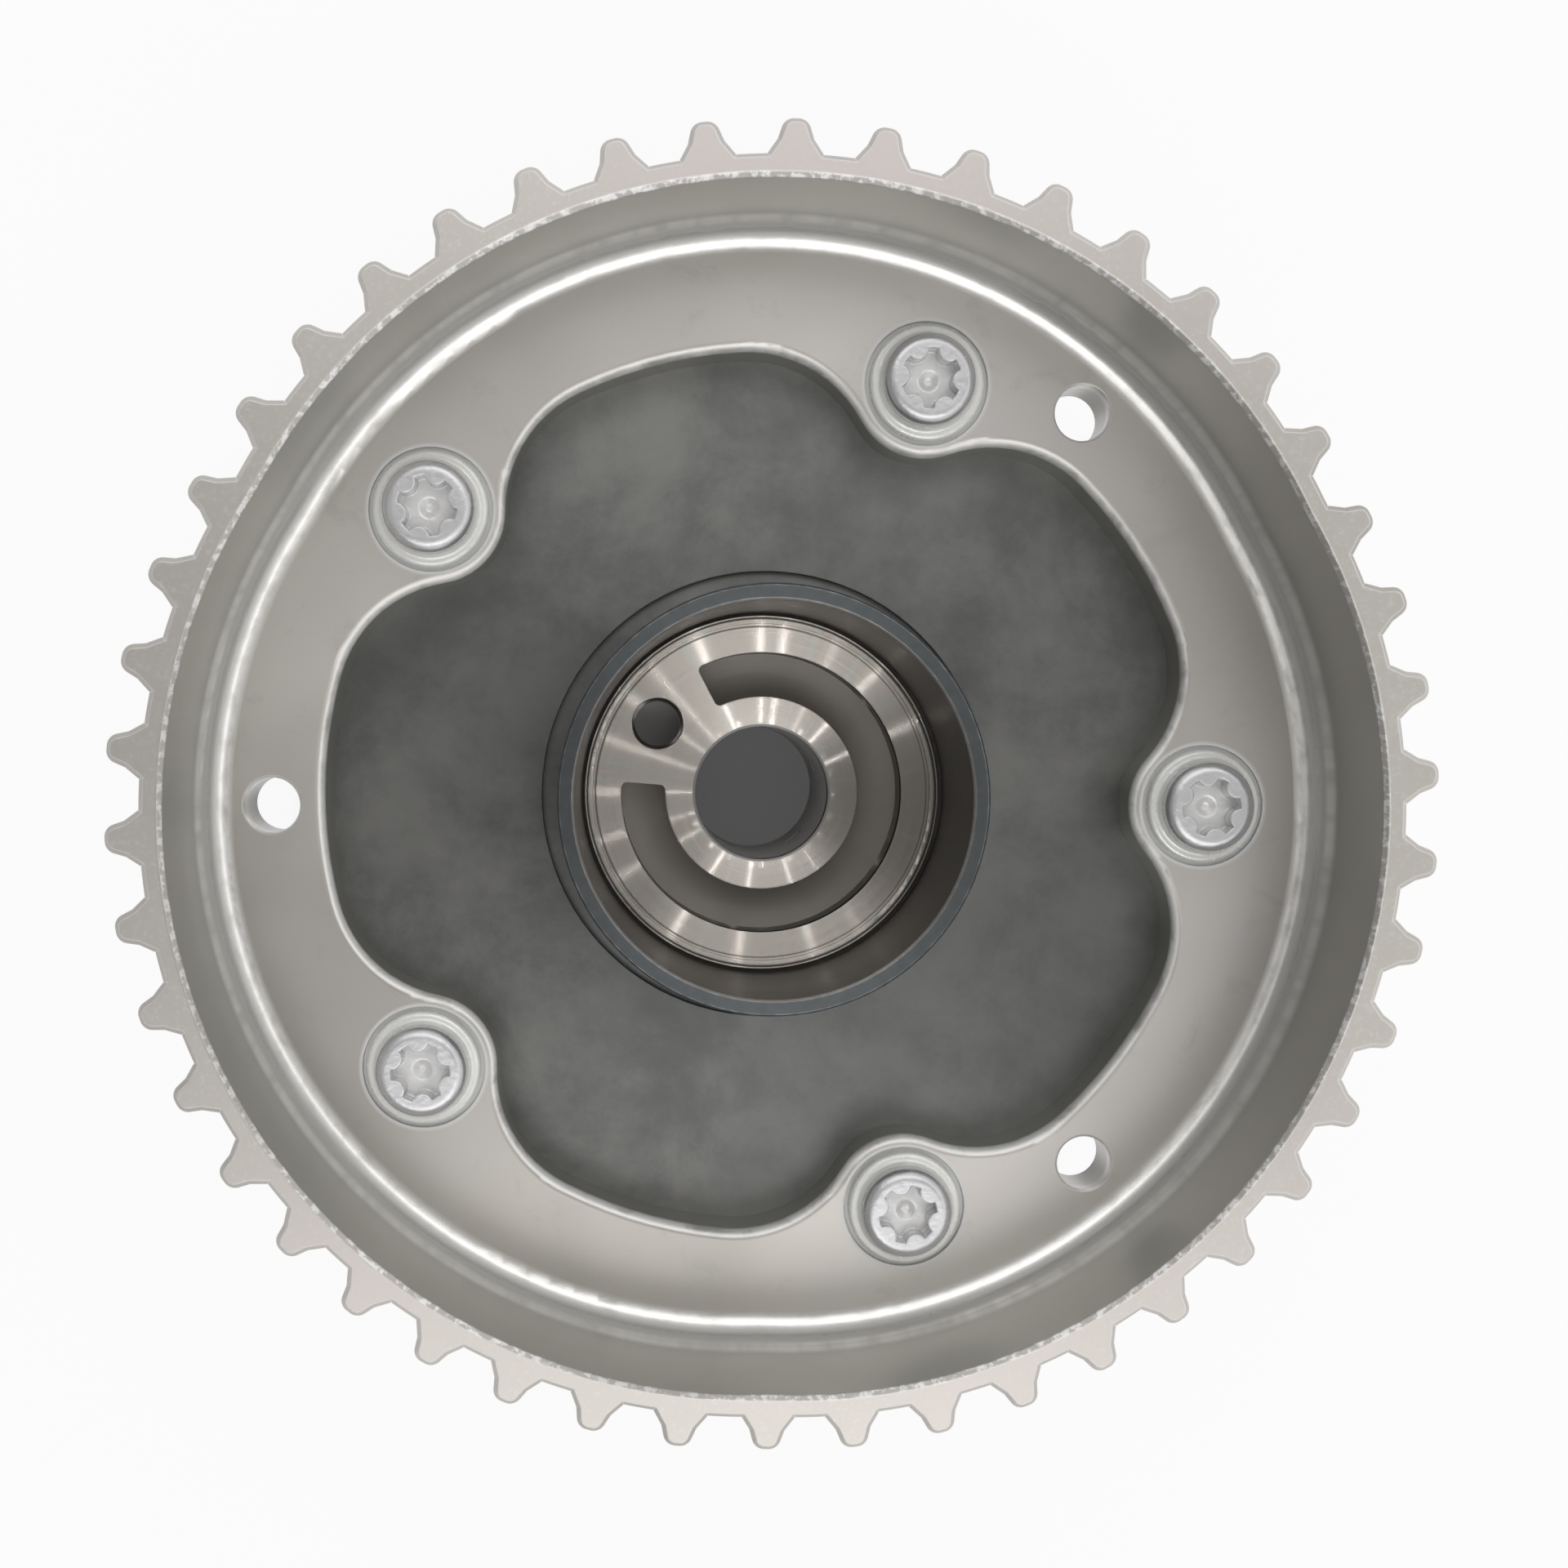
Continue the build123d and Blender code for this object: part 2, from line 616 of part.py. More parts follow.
os.makedirs("parts", exist_ok=True)
export_step(sprocket.part, "parts/sprocket.step")
export_step(rear_cover.part, "parts/rear_cover.step")
export_step(stator.part, "parts/stator.step")
export_step(front_cover.part, "parts/front_cover.step")
export_step(rotor.part, "parts/rotor.step")
export_step(lock_pin.part, "parts/lock_pin.step")
export_step(lock_cap.part, "parts/lock_cap.step")
export_step(lock_spring.part, "parts/lock_spring.step")
export_step(lock_bush.part, "parts/lock_bush.step")
export_step(locating_pin.part, "parts/locating_pin.step")

for number, (point, recess_turn) in enumerate(zip(screw_points, recess_turns), start=1):
    screw = housing_screw(point, recess_turn)
    screw.label = f"housing_screw_{number}"
    export_step(screw, f"parts/housing_screw_{number}.step")

vane_strip_middle = chamber_radius - strip_end_clearance - strip_height / 2
web_strip_middle = hub_radius + strip_end_clearance + strip_height / 2
for number, angle in enumerate(vane_angles, start=1):
    strip = seal_strip(angle, vane_strip_middle, 1)
    strip.label = f"vane_seal_{number}"
    export_step(strip, f"parts/vane_seal_{number}.step")
    bow = bow_spring(angle, vane_slot_floor, 1)
    bow.label = f"vane_seal_spring_{number}"
    export_step(bow, f"parts/vane_seal_spring_{number}.step")
for number, angle in enumerate(screw_angles, start=1):
    strip = seal_strip(angle, web_strip_middle, -1)
    strip.label = f"web_seal_{number}"
    export_step(strip, f"parts/web_seal_{number}.step")
    bow = bow_spring(angle, web_slot_floor, -1)
    bow.label = f"web_seal_spring_{number}"
    export_step(bow, f"parts/web_seal_spring_{number}.step")
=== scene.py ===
import json
import math
from functools import reduce
from types import SimpleNamespace

import bpy
from mathutils import Matrix, Vector


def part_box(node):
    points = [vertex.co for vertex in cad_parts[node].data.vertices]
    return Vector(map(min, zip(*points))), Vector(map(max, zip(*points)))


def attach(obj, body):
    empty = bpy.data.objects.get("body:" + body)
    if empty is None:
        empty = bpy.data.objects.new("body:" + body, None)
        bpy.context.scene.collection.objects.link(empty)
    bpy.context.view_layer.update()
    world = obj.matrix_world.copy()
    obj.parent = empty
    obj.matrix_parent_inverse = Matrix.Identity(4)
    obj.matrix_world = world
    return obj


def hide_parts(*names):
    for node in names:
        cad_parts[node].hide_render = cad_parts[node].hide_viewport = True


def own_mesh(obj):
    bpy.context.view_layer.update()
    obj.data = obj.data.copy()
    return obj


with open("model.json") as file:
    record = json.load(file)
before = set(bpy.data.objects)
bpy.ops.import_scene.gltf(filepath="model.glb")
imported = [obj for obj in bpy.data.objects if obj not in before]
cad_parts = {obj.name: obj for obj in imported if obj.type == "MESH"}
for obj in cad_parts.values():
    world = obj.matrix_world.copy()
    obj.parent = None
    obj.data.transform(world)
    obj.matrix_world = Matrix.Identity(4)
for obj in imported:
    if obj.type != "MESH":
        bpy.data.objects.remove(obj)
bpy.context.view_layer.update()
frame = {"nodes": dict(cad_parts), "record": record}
nodes = frame["nodes"]
scene = bpy.context.scene

# Sizes in metres, repeated from the source of the part to place the masks of the materials
MM = 0.001
RIM_TOP = 26.5 * MM
WEB_TOP = 11.0 * MM
COVER_TOP = 5.5 * MM
TURNED_DEPTH = 1.1 * MM
WALL_RADIUS = 51.3 * MM
LOBE_OFFSET = 2.47 * MM
LIP_REACH = 49.5 * MM
COLLAR_BORE = 18.3 * MM
ROTOR_BORE = 6.8 * MM
DOWEL_RADIUS = 2.3 * MM
PIN_RADIUS = 2.6 * MM
SEAT_RADIUS = 5.85 * MM
RECESS_RADIUS = 2.9 * MM
FLOOR_LEVEL = -23.6 * MM

# Upright axes that the masks are drawn round
DOWEL_AXES = [m["pos_m"][:2] for m in frame["record"]["mounts"] if m["name"] == "cam_dowel"]
PIN_AXES = [m["pos_m"][:2] for m in frame["record"]["mounts"] if m["name"].startswith("pin_hole")]
LOBE_AXES = []
for lobe in range(3):
    lobe_angle = math.radians(90 + 120 * lobe)
    LOBE_AXES.append((LOBE_OFFSET * math.cos(lobe_angle), LOBE_OFFSET * math.sin(lobe_angle)))
SCREW_AXES = []
for number in range(1, 6):
    low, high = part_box(f"housing_screw_{number}")
    SCREW_AXES.append(((low[0] + high[0]) / 2, (low[1] + high[1]) / 2))
SCREW_TOP = high[2]

# Z of the normal at which a surface counts as upright, as no longer upright, and as flat
UPRIGHT_Z = 0.2
SLOPING_Z = 0.7
FLAT_Z = (0.75, 0.95)

# How far the rounded normal leaves the flat one where an edge starts to show, and shows fully
EDGE_START = 0.002
EDGE_FULL = 0.05


class Tree:
    """The nodes of one material or world, with short names for what is used again and again."""

    def __init__(self, owner, output="ShaderNodeOutputMaterial"):
        owner.use_nodes = True
        self.owner = owner
        self.tree = owner.node_tree
        self.tree.nodes.clear()
        self.output = self.node(output)

    def node(self, kind, **settings):
        made = self.tree.nodes.new(kind)
        for key, value in settings.items():
            setattr(made, key, value)
        return made

    def link(self, source, target):
        self.tree.links.new(source, target)

    def put(self, socket, value):
        if isinstance(value, bpy.types.NodeSocket):
            self.link(value, socket)
        else:
            socket.default_value = value

    def math(self, operation, a, b=0.0, clamp=False):
        made = self.node("ShaderNodeMath", operation=operation, use_clamp=clamp)
        self.put(made.inputs[0], a)
        self.put(made.inputs[1], b)
        return made.outputs[0]

    def product(self, *values):
        return reduce(lambda a, b: self.math("MULTIPLY", a, b), values)

    def largest(self, *values):
        return reduce(lambda a, b: self.math("MAXIMUM", a, b), values)

    def inverse(self, value):
        return self.math("SUBTRACT", 1.0, value)

    def clamped(self, value, low, high):
        return self.math("MINIMUM", self.math("MAXIMUM", value, low), high)

    def ramp(self, value, low, high, start=0.0, end=1.0, smooth=True):
        made = self.node("ShaderNodeMapRange", clamp=True)
        made.interpolation_type = "SMOOTHSTEP" if smooth else "LINEAR"
        self.put(made.inputs["Value"], value)
        self.put(made.inputs["From Min"], low)
        self.put(made.inputs["From Max"], high)
        self.put(made.inputs["To Min"], start)
        self.put(made.inputs["To Max"], end)
        return made.outputs[0]

    def mix(self, factor, a, b):
        made = self.node("ShaderNodeMix", data_type="RGBA")
        self.put(made.inputs["Factor"], factor)
        self.put(made.inputs[6], a)
        self.put(made.inputs[7], b)
        return made.outputs[2]

    def layered(self, color, *layers):
        # Colours laid over the first one in turn, each by its own mask
        for mask, layer in layers:
            color = self.mix(mask, color, layer)
        return color

    def blend(self, factor, a, b):
        made = self.node("ShaderNodeMix", data_type="FLOAT")
        self.put(made.inputs["Factor"], factor)
        self.put(made.inputs[2], a)
        self.put(made.inputs[3], b)
        return made.outputs[0]

    def combine(self, x, y, z):
        made = self.node("ShaderNodeCombineXYZ")
        self.put(made.inputs[0], x)
        self.put(made.inputs[1], y)
        self.put(made.inputs[2], z)
        return made.outputs[0]

    def split(self, vector):
        made = self.node("ShaderNodeSeparateXYZ")
        self.link(vector, made.inputs[0])
        return made.outputs

    def flattened(self, vector):
        # The vector without its Z
        made = self.node("ShaderNodeVectorMath", operation="MULTIPLY")
        self.link(vector, made.inputs[0])
        made.inputs[1].default_value = (1, 1, 0)
        return made.outputs[0]

    def unit(self, vector):
        made = self.node("ShaderNodeVectorMath", operation="NORMALIZE")
        self.link(vector, made.inputs[0])
        return made.outputs[0]

    def noise(self, vector, scale, detail=2.0, roughness=0.5, distortion=0.0):
        made = self.node("ShaderNodeTexNoise")
        self.put(made.inputs["Vector"], vector)
        self.put(made.inputs["Scale"], scale)
        self.put(made.inputs["Detail"], detail)
        self.put(made.inputs["Roughness"], roughness)
        self.put(made.inputs["Distortion"], distortion)
        return made.outputs["Fac"]

    def streaks(self, across, across_scale, along, along_scale, detail=2.0, roughness=0.5):
        # Noise that is fine across the streaks and long along them
        place = self.combine(self.product(across, across_scale), self.product(along, along_scale), 0.0)
        return self.noise(place, 1.0, detail, roughness)

    def position(self):
        return self.node("ShaderNodeTexCoord").outputs["Object"]

    def polar(self, position):
        # Radius, angle and height of a position round the part's own Z axis
        x, y, z = self.split(position)
        squares = self.math("ADD", self.product(x, x), self.product(y, y))
        return self.math("SQRT", squares), self.math("ARCTAN2", y, x), z

    def axis_distance(self, position, axes):
        # Distance to the nearest of some upright axes
        flat = self.flattened(position)
        nearest = None
        for x, y in axes:
            reach = self.node("ShaderNodeVectorMath", operation="DISTANCE")
            self.link(flat, reach.inputs[0])
            reach.inputs[1].default_value = (x, y, 0)
            distance = reach.outputs["Value"]
            nearest = distance if nearest is None else self.math("MINIMUM", nearest, distance)
        return nearest

    def facing(self):
        # Z of the surface's normal, and a mask of the surfaces that stand upright
        up = self.split(self.node("ShaderNodeNewGeometry").outputs["Normal"])[2]
        upright = self.inverse(self.ramp(self.math("ABSOLUTE", up), UPRIGHT_Z, SLOPING_Z))
        return up, upright

    def radial_tangent(self, position):
        # Direction away from the part's own Z axis, across the grooves of turning
        world = self.node("ShaderNodeVectorTransform", vector_type="VECTOR")
        world.convert_from = "OBJECT"
        world.convert_to = "WORLD"
        self.link(self.flattened(position), world.inputs[0])
        return self.unit(world.outputs[0])

    def lean(self, normal, direction, slope):
        # The normal, leant along a direction by a slope
        scaled = self.node("ShaderNodeVectorMath", operation="SCALE")
        self.link(direction, scaled.inputs[0])
        self.link(slope, scaled.inputs["Scale"])
        total = self.node("ShaderNodeVectorMath", operation="ADD")
        self.link(normal, total.inputs[0])
        self.link(scaled.outputs[0], total.inputs[1])
        return self.unit(total.outputs[0])

    def rounded_edges(self, radius):
        # A normal that rounds the edges off, and a mask of where it does
        rounded = self.node("ShaderNodeBevel", samples=4)
        rounded.inputs["Radius"].default_value = radius
        dot = self.node("ShaderNodeVectorMath", operation="DOT_PRODUCT")
        self.link(self.node("ShaderNodeNewGeometry").outputs["Normal"], dot.inputs[0])
        self.link(rounded.outputs[0], dot.inputs[1])
        edges = self.ramp(self.inverse(dot.outputs["Value"]), EDGE_START, EDGE_FULL)
        return rounded.outputs[0], edges

    def bump(self, height, distance, strength, normal=None):
        made = self.node("ShaderNodeBump")
        made.inputs["Strength"].default_value = strength
        made.inputs["Distance"].default_value = distance
        self.link(height, made.inputs["Height"])
        if normal is not None:
            self.link(normal, made.inputs["Normal"])
        return made.outputs[0]

    def surface(self, color, roughness, metallic, normal, tangent=None,
                anisotropic=0.0, specular=0.5, tint=1.0):
        shader = self.node("ShaderNodeBsdfPrincipled")
        self.put(shader.inputs["Base Color"], color)
        self.put(shader.inputs["Roughness"], roughness)
        self.put(shader.inputs["Metallic"], metallic)
        self.link(normal, shader.inputs["Normal"])
        shader.inputs["Anisotropic"].default_value = anisotropic
        shader.inputs["Specular IOR Level"].default_value = specular
        shader.inputs["Specular Tint"].default_value = (tint, tint, tint, 1)
        if tangent is not None:
            self.link(tangent, shader.inputs["Tangent"])
        self.link(shader.outputs[0], self.output.inputs["Surface"])
        return self.owner


# Colours of the sprocket: rolled sheet, drawn wall and ground rim, then painted light: highlights
# on the bend, the lip and the edges, a ring of painted reflection on the wall, the upper bend, seats
# and pin walls painted pale, and painted glints on the burr
SHEET_DARK, SHEET_PALE = (0.405, 0.384, 0.358, 1), (0.588, 0.559, 0.518, 1)
SHEET_TINT, SHEET_SMUDGE = (0.47, 0.445, 0.455, 1), (0.36, 0.35, 0.335, 1)
WALL_DARK, WALL_PALE = (0.375, 0.374, 0.35, 1), (0.497, 0.49, 0.457, 1)
GROUND_DARK, GROUND_PALE = (0.488, 0.465, 0.425, 1), (0.563, 0.53, 0.498, 1)
GROUND_SPECK, GROUND_TINT = (0.69, 0.68, 0.66, 1), (0.56, 0.508, 0.498, 1)
BEND_HIGHLIGHT, UPPER_BEND_PAINTED_LIGHT, BEND_RING_REFLECTION = (0.78, 0.77, 0.74, 1), (0.5, 0.49, 0.47, 1), (0.95, 0.94, 0.91, 1)
SEAT_PAINTED_LIGHT, PIN_WALL_PAINTED_LIGHT, LIP_HIGHLIGHT = (0.62, 0.62, 0.61, 1), (0.66, 0.65, 0.63, 1), (0.88, 0.87, 0.84, 1)
SHEET_EDGE_HIGHLIGHT, BURR_GLINT = (0.88, 0.87, 0.85, 1), (0.9, 0.89, 0.87, 1)


def sprocket_grain(t, place):
    # Soft clouds in the rolled sheet, circular polish on the floor, drawing marks down the wall
    position, angle = place.position, place.angle
    return SimpleNamespace(
        clouds=t.noise(position, scale=42.0, detail=4.0, roughness=0.6, distortion=0.4),
        large=t.noise(position, scale=17.0, detail=3.0, roughness=0.55, distortion=0.3),
        tint=t.noise(position, scale=26.0),
        smudges=t.noise(position, scale=240.0, detail=4.0, roughness=0.7, distortion=0.5),
        grit=t.noise(position, scale=1100.0, detail=3.0, roughness=0.65),
        specks=t.noise(position, scale=2400.0, roughness=0.6),
        rings=t.streaks(place.lobed, 2600.0, angle, 1.6, detail=3.0, roughness=0.65),
        marks=t.streaks(angle, 120.0, place.height, 50.0, detail=3.0, roughness=0.6),
        beads=t.streaks(angle, 24.0, place.lobed, 900.0),
    )


def sprocket_regions(t, place, grain):
    # Masks: the ground rim, the wall inside the cup and the mouth where they meet, the bend from
    # floor to wall with its painted highlight, the upper bend painted paler, the ring of painted
    # reflection on the wall, the screws' seats and the pin holes painted pale as painted light, and
    # the lip of the lobes with its painted highlight.
    # The ring has no limit outward, so it also pales the lower ends of the teeth.
    lobed, height = place.lobed, place.height
    up, upright = t.facing()
    at_rim = t.ramp(height, RIM_TOP - 0.6 * MM, RIM_TOP - 0.3 * MM)
    below_bend_top = t.ramp(height, WEB_TOP + 5.0 * MM, WEB_TOP + 3.0 * MM)
    from_screw = t.axis_distance(place.position, SCREW_AXES)
    from_pin = t.axis_distance(place.position, PIN_AXES)
    seat = t.ramp(from_screw, SEAT_RADIUS + 0.5 * MM, SEAT_RADIUS + 0.1 * MM)
    return SimpleNamespace(
        ground=t.product(t.ramp(up, *FLAT_Z), at_rim),
        wall=t.product(upright, t.ramp(lobed, WALL_RADIUS + 1.0 * MM, WALL_RADIUS + 0.5 * MM)),
        mouth=t.product(t.ramp(lobed, WALL_RADIUS + 0.5 * MM, WALL_RADIUS + 0.3 * MM), at_rim),
        # The bend carries a painted highlight in beads
        bend=t.product(
            t.ramp(lobed, WALL_RADIUS - 2.5 * MM, WALL_RADIUS - 1.8 * MM),
            t.ramp(height, WEB_TOP + 4.0 * MM, WEB_TOP + 2.0 * MM)),
        # The upper bend is painted paler, painted light over the dark dip of its reflection
        upper_bend=t.product(
            t.ramp(lobed, WALL_RADIUS - 1.4 * MM, WALL_RADIUS - 0.7 * MM), below_bend_top),
        # The ring is a painted reflection of the bend's highlight in the wall
        ring=t.product(
            t.ramp(height, WEB_TOP + 1.5 * MM, WEB_TOP + 2.5 * MM), below_bend_top,
            upright, t.ramp(grain.beads, 0.25, 0.6, 0.45, 1.0)),
        # The seats are painted pale, painted light over the dark reflection of their edges
        seat=seat,
        # The pin hole walls are painted pale, painted light over their shade
        pin_wall=t.product(upright, t.ramp(from_pin, PIN_RADIUS + 0.6 * MM, PIN_RADIUS + 0.3 * MM)),
        # The lip carries a painted highlight along the rounded edge of the opening
        lip=t.product(
            t.ramp(height, WEB_TOP - 0.02 * MM, WEB_TOP - 0.12 * MM),
            t.ramp(height, WEB_TOP - 1.6 * MM, WEB_TOP - 0.9 * MM),
            t.inverse(seat), t.ramp(grain.smudges, 0.3, 0.55, 0.5, 1.0),
            t.ramp(place.radius, LIP_REACH + 0.5 * MM, LIP_REACH)),
    )


def sprocket_color(t, grain, region, edges):
    wall = t.mix(grain.clouds, WALL_DARK, WALL_PALE)
    ground = t.layered(
        t.mix(grain.clouds, GROUND_DARK, GROUND_PALE),
        (t.ramp(grain.specks, 0.5, 0.75, end=0.3), GROUND_SPECK),
        (t.ramp(grain.tint, 0.5, 0.7, end=0.6), GROUND_TINT))
    # The bend is painted bright in beads, a painted highlight along the fillet. The burr of the mouth
    # is broken into pale specks, a real burr whose pale specks are painted glints, and the plain edge
    # is painted pale as a highlight where there is no burr.
    beaded_bend_highlight = t.product(region.bend, t.ramp(grain.beads, 0.2, 0.6, 0.4, 1.0))
    edge_highlights = t.product(edges, t.blend(region.mouth, t.blend(region.ground, 0.5, 0.95), 0.08))
    burr = t.product(
        region.mouth, t.ramp(grain.grit, 0.46, 0.6), t.ramp(grain.large, 0.4, 0.6, 0.5, 1.0))
    return t.layered(
        t.mix(t.ramp(grain.large, 0.3, 0.7), SHEET_DARK, SHEET_PALE),
        (t.ramp(grain.tint, 0.45, 0.75, end=0.45), SHEET_TINT),
        (t.ramp(grain.smudges, 0.55, 0.75, end=0.3), SHEET_SMUDGE),
        (region.wall, wall),
        (region.ground, ground),
        (beaded_bend_highlight, BEND_HIGHLIGHT),
        (region.upper_bend, UPPER_BEND_PAINTED_LIGHT),
        (region.ring, BEND_RING_REFLECTION),
        (region.seat, SEAT_PAINTED_LIGHT),
        (region.pin_wall, PIN_WALL_PAINTED_LIGHT),
        (region.lip, LIP_HIGHLIGHT),
        (edge_highlights, SHEET_EDGE_HIGHLIGHT),
        (burr, BURR_GLINT))


def sprocket_material():
    t = Tree(bpy.data.materials.new("sprocket_formed_steel"))
    position = t.position()
    radius, angle, height = t.polar(position)
    lobed = t.axis_distance(position, LOBE_AXES)
    place = SimpleNamespace(
        position=position, radius=radius, angle=angle, height=height, lobed=lobed)
    grain = sprocket_grain(t, place)
    region = sprocket_regions(t, place, grain)
    rounded, edges = t.rounded_edges(0.2 * MM)
    color = sprocket_color(t, grain, region, edges)

    rough = t.blend(grain.clouds, 0.29, 0.38)
    rough = t.blend(t.product(region.bend, 0.85), rough, t.blend(grain.beads, 0.2, 0.28))
    rough = t.blend(region.wall, rough, t.blend(grain.marks, 0.3, 0.37))
    rough = t.blend(region.ground, rough, t.blend(grain.specks, 0.28, 0.38))

    relief = t.blend(region.wall, grain.rings, grain.marks)
    relief = t.blend(region.ground, relief, grain.specks)
    bumped = t.bump(relief, 0.01 * MM, 0.4, rounded)
    bumped = t.bump(t.product(region.mouth, grain.grit), 0.1 * MM, 0.6, bumped)

    # Where light is painted into the colour, on the upper bend, the lip, the seats, the edges and the
    # pin walls, the metal is dulled, so the painted pale colour shows more than a reflection
    dull = t.largest(region.upper_bend, region.lip, region.seat, edges, region.pin_wall)
    metallic = t.blend(dull, t.blend(region.bend, 0.8, 1.0), 0.3)
    metallic = t.blend(t.product(region.ring, 0.7), metallic, 0.9)
    return t.surface(color, rough, metallic, bumped)


# Colours of the rear cover: steam-treated plate and collar, turned bore, edge worn pale and painted as a
# highlight
PLATE_DARK, PLATE_PALE = (0.129, 0.13, 0.126, 1), (0.219, 0.217, 0.206, 1)
PLATE_SHADE = (0.11, 0.117, 0.112, 1)
COLLAR_DARK, COLLAR_PALE = (0.074, 0.08, 0.083, 1), (0.108, 0.115, 0.119, 1)
BORE_DARK, BORE_PALE = (0.21, 0.196, 0.182, 1), (0.295, 0.275, 0.254, 1)
COVER_EDGE_WEAR_AND_HIGHLIGHT = (0.42, 0.44, 0.46, 1)


def dark_cover_material():
    t = Tree(bpy.data.materials.new("steam_treated_steel"))
    position = t.position()
    radius, angle, height = t.polar(position)
    clouds = t.noise(position, scale=75.0, detail=7.0, roughness=0.7, distortion=0.15)
    large = t.noise(position, scale=22.0)
    fine = t.noise(position, scale=900.0, detail=3.0, roughness=0.6)
    rings = t.streaks(radius, 3000.0, angle, 1.0, roughness=0.6)
    rounded, edges = t.rounded_edges(0.15 * MM)
    in_bore = t.ramp(radius, COLLAR_BORE + 0.3 * MM, COLLAR_BORE + 0.1 * MM)

    color = t.layered(
        t.mix(t.ramp(clouds, 0.3, 0.7), PLATE_DARK, PLATE_PALE),
        (t.ramp(large, 0.4, 0.65, end=0.4), PLATE_SHADE),
        (t.ramp(height, COVER_TOP + 0.2 * MM, COVER_TOP + 1.0 * MM), t.mix(fine, COLLAR_DARK, COLLAR_PALE)),
        (in_bore, t.mix(rings, BORE_DARK, BORE_PALE)),
        # Pale edges: worn metal and a painted highlight
        (t.product(edges, t.ramp(fine, 0.4, 0.7, 0.25, 0.8)), COVER_EDGE_WEAR_AND_HIGHLIGHT))
    rough = t.blend(in_bore, t.blend(clouds, 0.3, 0.42), 0.22)
    relief = t.blend(t.ramp(height, COVER_TOP, COVER_TOP + 1.0 * MM), fine, rings)
    bumped = t.bump(relief, 0.012 * MM, 0.5, rounded)

    # The tangent points outward on flat faces and along Z on upright ones
    upright = t.facing()[1]
    tangent = t.lean(t.radial_tangent(position), t.combine(0.0, 0.0, 1.0), upright)
    return t.surface(color, rough, 0.85, bumped, tangent, anisotropic=0.8, specular=0.2, tint=0.6)


# Colours of the rotor: turned face with faint green and red tints painted by angle as rainbow
# glints, raw body, bores painted pale over their shade, and edges pale from wear and a painted
# highlight
TURNED_DARK, TURNED_PALE = (0.37, 0.345, 0.315, 1), (0.47, 0.44, 0.405, 1)
GLINT_GREEN, GLINT_RED = (0.42, 0.47, 0.42, 1), (0.51, 0.42, 0.42, 1)
RAW_DARK, RAW_PALE = (0.34, 0.318, 0.29, 1), (0.48, 0.45, 0.41, 1)
ROTOR_HOLE_PAINTED_LIGHT, ROTOR_EDGE_WEAR_AND_HIGHLIGHT = (0.4, 0.39, 0.38, 1), (0.8, 0.78, 0.74, 1)

# Turning grooves of the rotor's face: how many there are to a metre, and how steep their flanks
GROOVES_PER_METRE = 25000.0
GROOVE_SLOPE = 0.29


def rotor_material():
    t = Tree(bpy.data.materials.new("turned_rotor_steel"))
    position = t.position()
    radius, angle, height = t.polar(position)
    rings = t.streaks(radius, 5200.0, angle, 0.6, roughness=0.6)
    clouds = t.noise(position, scale=90.0, detail=3.0, roughness=0.6)
    glint_spokes = t.noise(t.combine(t.product(angle, 9.0), 0.0, 0.0), scale=1.0, roughness=0.6)
    rounded, edges = t.rounded_edges(0.14 * MM)
    turned_face = t.ramp(height, -TURNED_DEPTH - 0.3 * MM, -TURNED_DEPTH)
    from_dowel = t.axis_distance(position, DOWEL_AXES)
    in_hole = t.largest(
        t.ramp(radius, ROTOR_BORE + 0.3 * MM, ROTOR_BORE + 0.1 * MM),
        t.ramp(from_dowel, DOWEL_RADIUS + 0.3 * MM, DOWEL_RADIUS + 0.1 * MM))

    # Green and red tints by angle: painted rainbow glints of the streaks
    turned = t.layered(
        t.mix(rings, TURNED_DARK, TURNED_PALE),
        (t.ramp(glint_spokes, 0.5, 0.7, end=0.4), GLINT_GREEN),
        (t.ramp(glint_spokes, 0.45, 0.3, end=0.4), GLINT_RED))
    color = t.layered(
        t.mix(clouds, RAW_DARK, RAW_PALE),
        (turned_face, turned),
        # Bore and dowel hole painted pale and matte: painted light over their shade
        (in_hole, ROTOR_HOLE_PAINTED_LIGHT),
        # Pale edges: wear and a painted highlight
        (t.product(edges, 0.2), ROTOR_EDGE_WEAR_AND_HIGHLIGHT))
    rough = t.blend(turned_face, 0.7, t.blend(rings, 0.15, 0.17))
    rough = t.blend(in_hole, rough, 0.7)
    metallic = t.blend(turned_face, t.blend(in_hole, 0.6, 0.0), 1.0)

    # Flanks of the turning grooves, finer than a pixel, lean the surface inward and outward
    outward = t.radial_tangent(position)
    flanks = t.math("PINGPONG", t.product(radius, GROOVES_PER_METRE), 0.5)
    slope = t.ramp(flanks, 0.17, 0.33, -GROOVE_SLOPE, GROOVE_SLOPE, smooth=False)
    leant = t.lean(rounded, outward, t.product(slope, turned_face))
    return t.surface(color, rough, metallic, leant, outward, anisotropic=1.0, tint=0.15)


# Colours of the screws' zinc flake coat: shank and head, flange and drive recess painted paler as
# painted light, edge painted as a highlight
COAT_DARK, COAT_PALE = (0.56, 0.56, 0.57, 1), (0.68, 0.67, 0.68, 1)
FLANGE_PAINTED_LIGHT = (0.75, 0.75, 0.72, 1)
RECESS_DARK, RECESS_PALE = (0.68, 0.68, 0.675, 1), (0.8, 0.79, 0.785, 1)
COAT_EDGE_HIGHLIGHT = (0.95, 0.95, 0.96, 1)


